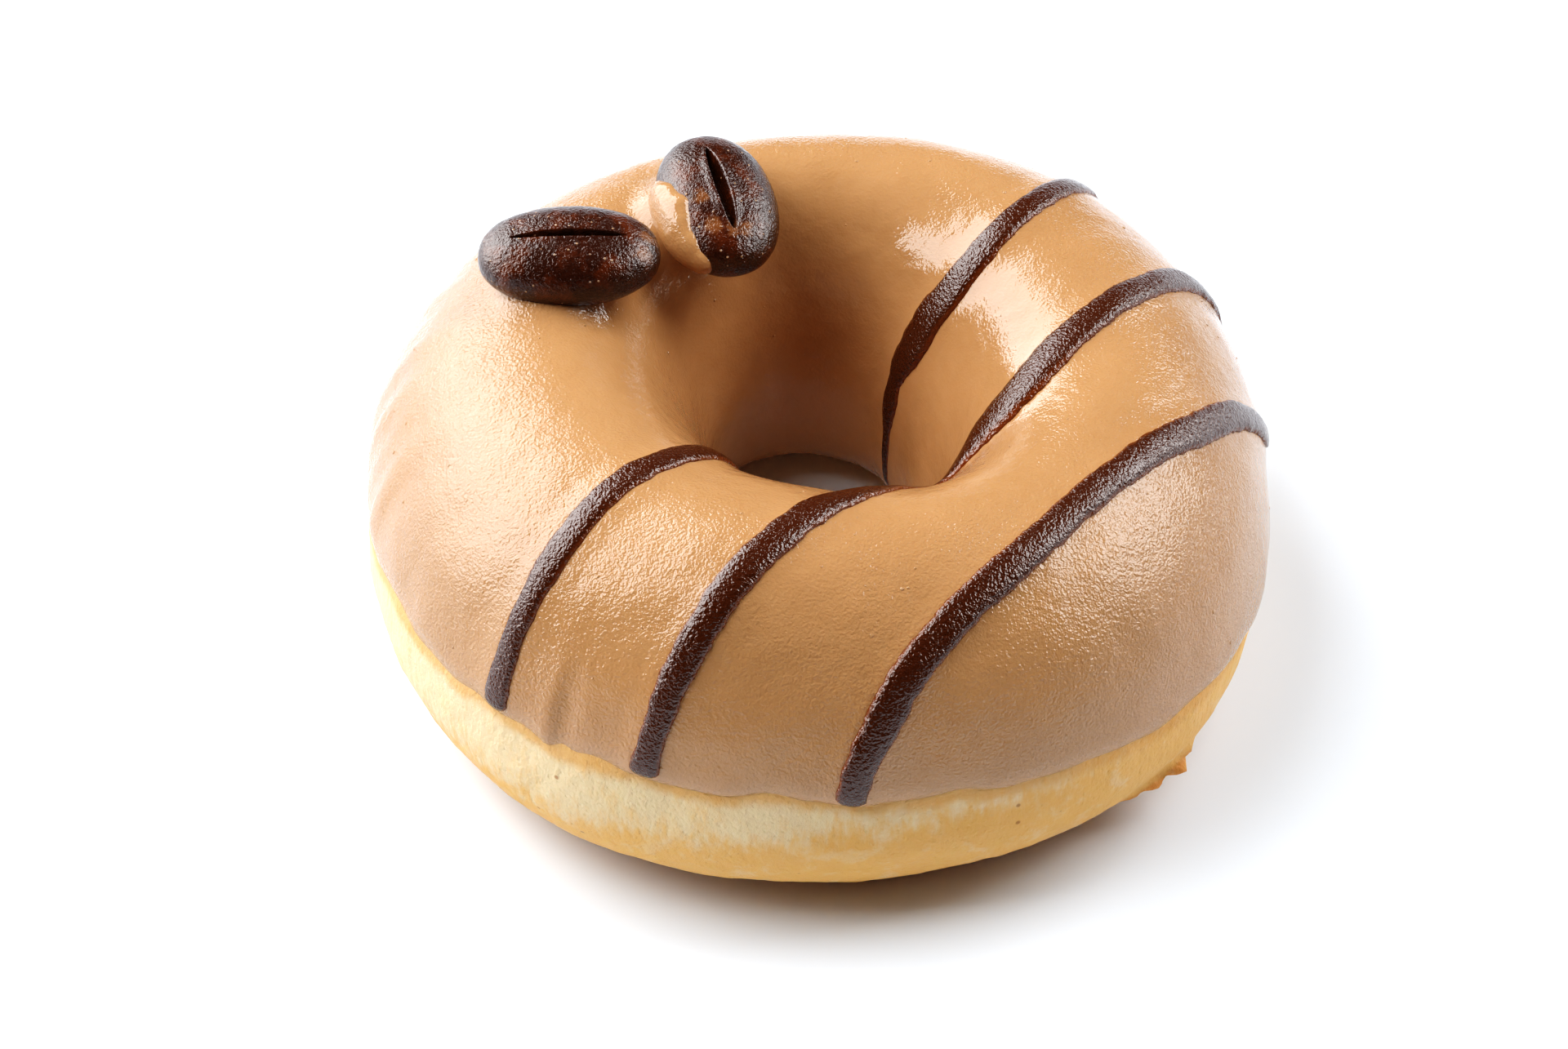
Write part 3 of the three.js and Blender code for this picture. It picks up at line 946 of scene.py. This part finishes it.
# %% Shape the coat of icing
COAT_RINGS = 470
LIP_ANGLES = np.radians([0, 0.3, 0.8, 1.5, 2.4, 3.6])
COAT_STEPS = 130
LINING_STEPS = 14
LIP_ROUND = math.radians(6.5)
LIP_DEPTH = 0.75
LINING_DEPTH = 1.1


def coat_points():
    """Theta, phi and lift of the whole grid, what is outside, and how far each point is from an edge."""
    theta = ring_angles(COAT_RINGS)[:, None]
    low = lower_edge(theta)
    high = hole_edge(theta)
    share = np.linspace(0, 1, COAT_STEPS)[None, :]
    middle = low + LIP_ANGLES[-1] + (high - low - 2 * LIP_ANGLES[-1]) * share
    outer_phi = np.concatenate([low + LIP_ANGLES[None, :-1], middle,
                                high - LIP_ANGLES[None, -2::-1]], 1)
    lining_phi = high + (low - high) * np.linspace(0, 1, LINING_STEPS)[None, :]
    phi = np.concatenate([outer_phi, lining_phi], 1)
    theta = np.broadcast_to(theta, phi.shape)
    exposed = np.ones(phi.shape)
    exposed[:, outer_phi.shape[1]:] = 0
    inside = np.minimum(phi - low, high - phi)
    curl = 1 - np.sqrt(np.clip(1 - (1 - np.clip(inside / LIP_ROUND, 0, 1)) ** 2, 0, 1))
    lift = np.where(exposed > 0, -LIP_DEPTH * curl, -LINING_DEPTH)
    return theta, phi, lift, exposed, inside


theta, phi, lift, exposed, inside = coat_points()
print("the icing's grid has", theta.shape[0], "rows of", theta.shape[1], "points")

# %% [markdown]
# ## The icing's folds
# Low folds hang at the left, where the icing drained after the dip, and one short fold stands over
# the edge's lowest place at the front left. At the front the dough puffed up under the icing. Each of
# these is one smooth bump or wave, added to the height of the grid before it becomes a mesh.

# %% Fold the icing
SWELLS = [(-105, 72, 8.0, 1.3)]
DRAINED_PLACE = math.radians(172)
DRAINED_REACH = math.radians(26)
DRAINED_TOP = (math.radians(20), math.radians(70))
DRAINED_HEIGHT = 0.2
EDGE_FADE = math.radians(10)
FOLD_HEIGHT = 0.3
RIDGE_NEAR_FOLD = (-1.1, 1.2)
GROOVE_NEAR_FOLD = (1.1, 1.5)
FOLD_TOP = math.radians(30)
MM_FOR_DEGREE = 0.33
SMOOTH_FROM = (math.radians(80), math.radians(112))
SMOOTH_SHARE = 0.65


def broad_swells(points):
    """Low, wide rises, given as theta, phi, reach and height."""
    rise = 0
    for around, up, reach, tall in SWELLS:
        centre = skin(np.array(math.radians(around)), np.array(math.radians(up)))
        away = np.linalg.norm(points - centre, axis=-1)
        rise = rise + tall * np.exp(-(away / reach) ** 2)
    return rise


def hanging_folds(theta, phi, inside):
    """Folds down the left side, and the short one: a ridge with a groove next to it."""
    left = np.exp(-((np.mod(theta, 2 * np.pi) - DRAINED_PLACE) / DRAINED_REACH) ** 2)
    lower = smooth_step(inside, 0, EDGE_FADE) * (1 - smooth_step(phi, *DRAINED_TOP))
    ripple = np.sin(theta * 34 + 2.2 * np.sin(phi * 3)) + 0.6 * np.sin(theta * 57 + 1)
    ridge = near_fold(theta, *RIDGE_NEAR_FOLD)
    groove = near_fold(theta, *GROOVE_NEAR_FOLD)
    short = 1 - smooth_step(inside, EDGE_FADE, FOLD_TOP)
    return DRAINED_HEIGHT * ripple * left * lower + FOLD_HEIGHT * (ridge - groove) * short


lift = lift + exposed * hanging_folds(theta, phi, inside) + exposed * broad_swells(skin(theta, phi))
from_edge = np.degrees(inside) * MM_FOR_DEGREE
rippled = 1 - SMOOTH_SHARE * smooth_step(phi, *SMOOTH_FROM)
coat = mesh_object("icing_coat", lifted(theta, phi, lift), grid_faces(*theta.shape),
                   exposed=exposed, from_edge=from_edge, rippled=rippled)
print("the folds and swells rise by up to", round(float(lift.max()), 2), "mm")

# %% [markdown]
# ## How the icing sets
# As it sets, the surface swells unevenly, creeps up each bean in a rounded skirt, heaps up where the
# right bean pushed it aside, and rises a little along each poured line. All of that depends on how
# near something is, and measuring it at every point is what Geometry Nodes do best.

# %% Build the tree that settles the icing
LIP_PLACE = (-17.0 * MM, 18.5 * MM, 37.5 * MM)
SKIRT_POWER = 1.5
LIP_POWER = 2.5
RIDGE_POWER = 3.5


def faded(tree, distance, reach, power):
    """1 where the distance is zero, and about a third at the reach. A high power ends it sharply."""
    share = calc(tree, "POWER", calc(tree, "DIVIDE", distance, reach), power)
    return calc(tree, "EXPONENT", calc(tree, "MULTIPLY", share, -1.0))


def distance_to(tree, target, elements):
    near = put(tree, "GeometryNodeProximity", {0: target}, target_element=elements)
    return near.outputs["Distance"]


def settling_tree():
    inputs = {"Swell Size": "Float", "Swell Height": "Float", "Ripple Size": "Float",
              "Ripple Height": "Float", "Left Bean": "Object", "Right Bean": "Object",
              "Skirt Reach": "Float", "Skirt Height": "Float", "Lip Place": "Vector",
              "Lip Reach": "Float", "Lip Height": "Float", "Lip Spread": "Float", "Lines": "Object",
              "Ridge Reach": "Float", "Ridge Height": "Float", "Icing": "Material"}
    tree, given = geometry_tree("settled_icing", inputs)
    exposed = attribute(tree, "exposed")
    layers = [(given["Swell Size"], given["Swell Height"], (0.3, 0.2, 0.1)),
              (given["Ripple Size"], given["Ripple Height"], (0.7, 0.1, 0.4))]
    swollen = relief_along_normal(tree, given["Geometry"], layers, exposed)
    both = put(tree, "GeometryNodeJoinGeometry")
    for label in ("Left Bean", "Right Bean"):
        bean = put(tree, "GeometryNodeObjectInfo", {0: given[label]}).outputs["Geometry"]
        tree.links.new(bean, both.inputs[0])
    near = distance_to(tree, both.outputs[0], "FACES")
    creep = faded(tree, near, given["Skirt Reach"], SKIRT_POWER)
    beside = faded(tree, near, given["Lip Spread"], LIP_POWER)
    place = put(tree, "GeometryNodeInputPosition").outputs[0]
    inputs = {0: place, 1: given["Lip Place"]}
    to_lip = put(tree, "ShaderNodeVectorMath", inputs, operation="DISTANCE").outputs["Value"]
    lip = span(tree, to_lip, 0.0, given["Lip Reach"], given["Lip Height"], 0.0)
    lines = put(tree, "GeometryNodeObjectInfo", {0: given["Lines"]}).outputs["Geometry"]
    along = faded(tree, distance_to(tree, lines, "EDGES"), given["Ridge Reach"], RIDGE_POWER)
    ridge = calc(tree, "MULTIPLY", along, given["Ridge Height"])
    rise = calc(tree, "ADD", calc(tree, "MULTIPLY", creep, given["Skirt Height"]), ridge)
    rise = calc(tree, "ADD", rise, calc(tree, "MULTIPLY", lip, beside))
    rise = calc(tree, "MULTIPLY", rise, exposed)
    normal = put(tree, "GeometryNodeInputNormal").outputs[0]
    climbed = put(tree, "GeometryNodeSetPosition", {0: swollen, "Offset": scaled(tree, normal, rise)})
    close_tree(tree, climbed.outputs[0], given["Icing"])
    return tree


SETTLING = settling_tree()
print(SETTLING.name, "has", len(SETTLING.nodes), "nodes")

# %% Let the icing set
pour_paths = lines_on_skin()
grow(coat, SETTLING, {
    "Swell Size": 15 * MM, "Swell Height": 0.45 * MM, "Ripple Size": 5 * MM, "Ripple Height": 0.10 * MM,
    "Left Bean": beans["left"], "Right Bean": beans["right"],
    "Skirt Reach": 1.3 * MM, "Skirt Height": 1.1 * MM,
    "Lip Place": LIP_PLACE, "Lip Reach": 8.0 * MM, "Lip Height": 3.6 * MM, "Lip Spread": 2.0 * MM,
    "Lines": pour_paths, "Ridge Reach": 2.5 * MM, "Ridge Height": 0.3 * MM, "Icing": MOCHA})
bpy.data.objects.remove(pour_paths)
ready(coat, "icing", "mocha_icing")

# %% [markdown]
# ## The icing on the right bean
# The right bean was pushed in sideways, and the icing that it pushed up still lies over its left
# flank in a thick roll. That roll could be sculpted, but it has the bean's own shape under it. So it
# is the bean's surface again, raised by the icing's thickness on that flank, and shrunk into the
# bean everywhere else. Its rim meets the chocolate in a round edge.

# %% Cover the right bean's flank
ROLL_THICKNESS = 1.1
ROLL_ROUND = 1.5
ROLL_SUNK = 0.3
ROLL_SHRUNK = 0.5
SHRINK_SPAN = 3
ROLL_RIM = [(-5.0, -6.5), (-3.8, -5.4), (-2.2, -4.5), (-0.4, -4.1), (0.8, -3.6), (2.3, -3.8),
            (4.0, -4.0), (5.0, -3.9), (6.0, -3.6), (7.5, -2.6)]
ROLL_WAVES = [(1.3, 0.1, 1.0), (2.9, 0.04, 0.3)]


def roll_rim(x):
    """How far to the side the roll's rim lies at each place along the bean, in millimetres."""
    places, sides = zip(*ROLL_RIM)
    uneven = sum(tall * np.sin(turns * x + at) for turns, tall, at in ROLL_WAVES)
    return np.interp(x, places, sides) + uneven


def roll_points(points, length, width):
    """A bean's points, raised where the roll lies and shrunk into the bean everywhere else."""
    inside_rim = roll_rim(points[..., 0]) - points[..., 1]
    inwards = np.clip(inside_rim / ROLL_ROUND, 0, 1)
    thick = ROLL_THICKNESS * np.sqrt(1 - (1 - inwards) ** 2) - ROLL_SUNK
    normal = points / np.square([length, width, BEAN_HEIGHT])
    normal = normal / np.linalg.norm(normal, axis=-1, keepdims=True)
    shrunk = 1 - ROLL_SHRUNK * smooth_step(-inside_rim, 0, SHRINK_SPAN)
    return points * shrunk[..., None] + normal * thick[..., None]


right_sizes = BEANS["right"]["sizes"]
points = roll_points(bean_shape(*right_sizes), *right_sizes[:2])
everywhere = np.ones(points.shape[:-1])
roll = mesh_object("icing_on_bean", points, bean_faces(), from_edge=2 * THIN_EDGE * everywhere,
                   rippled=0.5 * everywhere)
set_down(roll, *BEANS["right"]["place"])
grow(roll, DENTED, {"Dent Size": 2.5 * MM, "Dent Height": 0.07 * MM, "Grain Size": 1.2 * MM,
                    "Grain Height": 0.02 * MM, "Finish": MOCHA})
ready(roll, None, "mocha_icing")

# %% [markdown]
# ## The chocolate's material
# The poured lines are dark chocolate. It is almost black where it is thick, and reddish brown at the
# edges, where it thins out over the pale icing. It sets with a fine grain that glitters.

# %% Mix the poured chocolate's material
CHOCOLATE_THICK = paint(68, 30, 9)
CHOCOLATE_THIN = paint(112, 54, 16)
CHOCOLATE_CLOUD = 3 * MM
CHOCOLATE_GRAIN = 0.34 * MM


def chocolate_material():
    material, tree, surface, place = new_material("poured_chocolate", CHOCOLATE_THICK)
    clouds = noise(tree, place, CHOCOLATE_CLOUD, 3, 0.6)
    grain = noise(tree, place, CHOCOLATE_GRAIN, 1.5, 0.6)
    thin = calc(tree, "ADD", point_number(tree, "thinness"), calc(tree, "MULTIPLY", clouds, 0.25))
    colour = mix_colours(tree, span(tree, thin, 0.45, 1.1), CHOCOLATE_THICK, CHOCOLATE_THIN)
    tree.links.new(colour, surface.inputs["Base Color"])
    relief = bump(tree, clouds, 0.05 * MM)
    relief = bump(tree, grain, 0.2 * MM, relief)
    tree.links.new(relief, surface.inputs["Normal"])
    tree.links.new(span(tree, grain, 0.3, 0.7, 0.08, 0.16), surface.inputs["Roughness"])
    surface.inputs["Specular IOR Level"].default_value = 0.6
    return material


CHOCOLATE = mixed(chocolate_material())

# %% [markdown]
# ## The poured lines
# A line of melted chocolate lies on the icing as a low round bead, wavers a little in width, ends in
# a blunt tip, and follows every swell of what it lies on. A bead modelled by hand would float or sink
# somewhere, so Geometry Nodes lay it: the tree sweeps a round profile along the path, puts each point
# down on the nearest icing, and lifts it by the bead's height there. First come the path and the
# profile, each with the numbers that the tree needs later.

# %% Write the path and the profile
PROFILE_POINTS = 28
BEAD_SQUARENESS = 2.6
BEAD_UNDERSIDE = -0.4


def unit(tree, vector):
    return vector_calc(tree, "NORMALIZE", vector)


def nearest_normal(tree, ground, place):
    normal = put(tree, "GeometryNodeInputNormal").outputs[0]
    inputs = {0: ground, "Value": normal, "Sample Position": place}
    node = put(tree, "GeometryNodeSampleNearestSurface", inputs, data_type="FLOAT_VECTOR")
    return unit(tree, node.outputs[0])


def line_curve(tree, given, ground):
    """The path, evenly resampled, with what each point needs stored on it."""
    curve = put(tree, "GeometryNodeMeshToCurve", {0: given["Geometry"]}).outputs[0]
    inputs = {0: curve, "Length": given["Step"]}
    even = put(tree, "GeometryNodeResampleCurve", inputs, mode="LENGTH").outputs[0]
    place = put(tree, "GeometryNodeInputPosition").outputs[0]
    tangent = put(tree, "GeometryNodeInputTangent").outputs[0]
    side = unit(tree, vector_calc(tree, "CROSS_PRODUCT", tangent, nearest_normal(tree, ground, place)))
    at = put(tree, "GeometryNodeSplineParameter").outputs["Length"]
    whole = put(tree, "GeometryNodeSplineLength").outputs["Length"]
    to_end = calc(tree, "MINIMUM", at, calc(tree, "SUBTRACT", whole, at))
    tip = calc(tree, "MINIMUM", calc(tree, "DIVIDE", to_end, given["Tip"]), 1.0)
    left_over = calc(tree, "SUBTRACT", 1.0, tip)
    squared = calc(tree, "MULTIPLY", left_over, left_over)
    blunt = calc(tree, "SQRT", calc(tree, "SUBTRACT", 1.001, squared))
    even = store(tree, even, "path_place", place, "FLOAT_VECTOR")
    even = store(tree, even, "path_side", side, "FLOAT_VECTOR")
    return store(tree, even, "path_blunt", blunt)


def bead_profile(tree):
    """A circle whose points remember how far across the bead and how high on it they are."""
    inputs = {"Resolution": PROFILE_POINTS, "Radius": 1.0}
    circle = put(tree, "GeometryNodeCurvePrimitiveCircle", inputs).outputs[0]
    place = put(tree, "GeometryNodeInputPosition").outputs[0]
    parts = put(tree, "ShaderNodeSeparateXYZ", {0: place}).outputs
    outwards = calc(tree, "POWER", calc(tree, "ABSOLUTE", parts[0]), BEAD_SQUARENESS)
    hollow = calc(tree, "MAXIMUM", calc(tree, "SUBTRACT", 1.0, outwards), 0.0)
    side = calc(tree, "MAXIMUM", calc(tree, "SIGN", parts[1]), BEAD_UNDERSIDE)
    rise = calc(tree, "MULTIPLY", calc(tree, "POWER", hollow, 0.5), side)
    circle = store(tree, circle, "across", parts[0])
    return store(tree, circle, "rise", rise)


print("the bead's profile has", PROFILE_POINTS, "points")

# %% [markdown]
# ## The tree that lays a line
# Each point of the swept profile knows how far across the bead it is. The tree moves it that far
# sideways from the path, finds the nearest icing, and lifts it from there. The two sides waver on
# their own, because their noise is read two metres apart. The thin rim is marked for the material.

# %% Build the tree that lays a line


def line_tree():
    inputs = {"Icing": "Object", "Step": "Float", "Tip": "Float", "Spread": "Float",
              "Bead Share": "Float", "Waver": "Float", "Waver Size": "Float", "Chocolate": "Material"}
    tree, given = geometry_tree("poured_line", inputs)
    ground = put(tree, "GeometryNodeObjectInfo", {0: given["Icing"]}).outputs["Geometry"]
    inputs = {0: line_curve(tree, given, ground), 1: bead_profile(tree), "Fill Caps": True}
    small = put(tree, "GeometryNodeCurveToMesh", inputs).outputs[0]
    across = attribute(tree, "across")
    path_place = attribute(tree, "path_place", "FLOAT_VECTOR")
    spread = calc(tree, "MULTIPLY", attribute(tree, "width"), given["Spread"])
    width = calc(tree, "MULTIPLY", spread, attribute(tree, "path_blunt"))
    shift = put(tree, "ShaderNodeCombineXYZ", {0: calc(tree, "SIGN", across)}).outputs[0]
    wave_place = vector_calc(tree, "ADD", path_place, shift)
    often = calc(tree, "DIVIDE", 1.0, given["Waver Size"])
    inputs = {"Vector": wave_place, "Scale": often, "Detail": 2.5}
    wave = calc(tree, "SUBTRACT", put(tree, "ShaderNodeTexNoise", inputs).outputs[0], 0.5)
    waver = calc(tree, "ADD", 1.0, calc(tree, "MULTIPLY", wave, given["Waver"]))
    half = calc(tree, "MULTIPLY", waver, 0.5)
    reach = calc(tree, "MULTIPLY", calc(tree, "MULTIPLY", across, width), half)
    side = attribute(tree, "path_side", "FLOAT_VECTOR")
    above = vector_calc(tree, "ADD", path_place, scaled(tree, side, reach))
    inputs = {0: ground, "Sample Position": above}
    laid = put(tree, "GeometryNodeProximity", inputs, target_element="FACES")
    normal = nearest_normal(tree, ground, above)
    tallest = calc(tree, "MULTIPLY", width, given["Bead Share"])
    tall = calc(tree, "MULTIPLY", tallest, attribute(tree, "rise"))
    place = vector_calc(tree, "ADD", laid.outputs["Position"], scaled(tree, normal, tall))
    bead = put(tree, "GeometryNodeSetPosition", {0: small, "Position": place}).outputs[0]
    rim = calc(tree, "POWER", calc(tree, "ABSOLUTE", across), 3.0)
    bead = store(tree, bead, "thinness", rim)
    close_tree(tree, bead, given["Chocolate"])
    return tree


LINE = line_tree()
print(LINE.name, "has", len(LINE.nodes), "nodes")

# %% Pour the lines
for name, knots in LINES.items():
    line = path_object(name + "_chocolate", knots)
    grow(line, LINE, {"Icing": coat, "Step": 0.35 * MM, "Tip": 1.0 * MM, "Spread": 1.28,
                      "Bead Share": 0.16, "Waver": 0.42, "Waver Size": 1.9 * MM,
                      "Chocolate": CHOCOLATE})
    ready(line, name, "dark_chocolate")

# %% [markdown]
# ## Bubbles in the icing
# Whipped icing holds air, and a few bubbles set just under its surface as tiny domes. They repeat and
# follow the surface, which is what Geometry Nodes are for: points are scattered over the outside of
# the icing by a fixed seed, and a low dome of a few dozen faces is put on each.

# %% Scatter the bubbles
EDGE_CLEARANCE = 1.5
DOME_SHARE = 0.45


def bubble_tree():
    inputs = {"Density": "Float", "Smallest": "Float", "Largest": "Float", "Seed": "Int",
              "Icing": "Material"}
    tree, given = geometry_tree("icing_bubbles", inputs)
    outside = calc(tree, "GREATER_THAN", attribute(tree, "from_edge"), EDGE_CLEARANCE)
    shown = calc(tree, "MULTIPLY", outside, attribute(tree, "exposed"))
    inputs = {0: given["Geometry"], "Selection": shown, "Density": given["Density"],
              "Seed": given["Seed"]}
    spots = put(tree, "GeometryNodeDistributePointsOnFaces", inputs).outputs
    inputs = {"Segments": 8, "Rings": 6, "Radius": 1.0}
    ball = put(tree, "GeometryNodeMeshUVSphere", inputs).outputs[0]
    inputs = {2: given["Smallest"], 3: given["Largest"]}
    size = put(tree, "FunctionNodeRandomValue", inputs).outputs[1]
    flat = calc(tree, "MULTIPLY", size, DOME_SHARE)
    low = put(tree, "ShaderNodeCombineXYZ", {0: size, 1: size, 2: flat}).outputs[0]
    inputs = {0: spots["Points"], "Instance": ball, "Rotation": spots["Rotation"], "Scale": low}
    domes = put(tree, "GeometryNodeInstanceOnPoints", inputs).outputs[0]
    close_tree(tree, domes, given["Icing"])
    return tree


bubbles = bpy.data.objects.new("icing_bubbles", coat.data.copy())
bpy.context.scene.collection.objects.link(bubbles)
grow(bubbles, bubble_tree(), {"Density": 16000.0, "Smallest": 0.05 * MM, "Largest": 0.2 * MM,
                              "Seed": 4, "Icing": MOCHA})
ready(bubbles, None, "mocha_icing")

# %% [markdown]
# ## The table
# The doughnut lies on a plain white table. The icing and the dough throw warm light down on it, so it is
# made a little blue, which keeps its shadows closer to grey. It is staging, and isn't part of the
# object.

# %% Lay the table
TABLE_WHITE = (0.9, 0.9, 0.9, 1)
TABLE_TONES = ((0.82, 0.88, 0.95, 1), (0.83, 0.89, 0.96, 1))
TONE_SIZE = 0.2


def table_material():
    material, tree, surface, place = new_material("white_table", TABLE_WHITE)
    colour = mix_colours(tree, noise(tree, place, TONE_SIZE), *TABLE_TONES)
    tree.links.new(colour, surface.inputs["Base Color"])
    surface.inputs["Roughness"].default_value = 0.7
    surface.inputs["Specular IOR Level"].default_value = 0.2
    return material


TABLE_HALF = 3000
corners = np.array([[-1, -1, 0], [1, -1, 0], [1, 1, 0], [-1, 1, 0]], float) * TABLE_HALF
table = mesh_object("table", corners, [(0, 1, 2, 3)])
table.data.materials.append(table_material())
print("the table is", round(2 * TABLE_HALF * MM, 1), "m across")
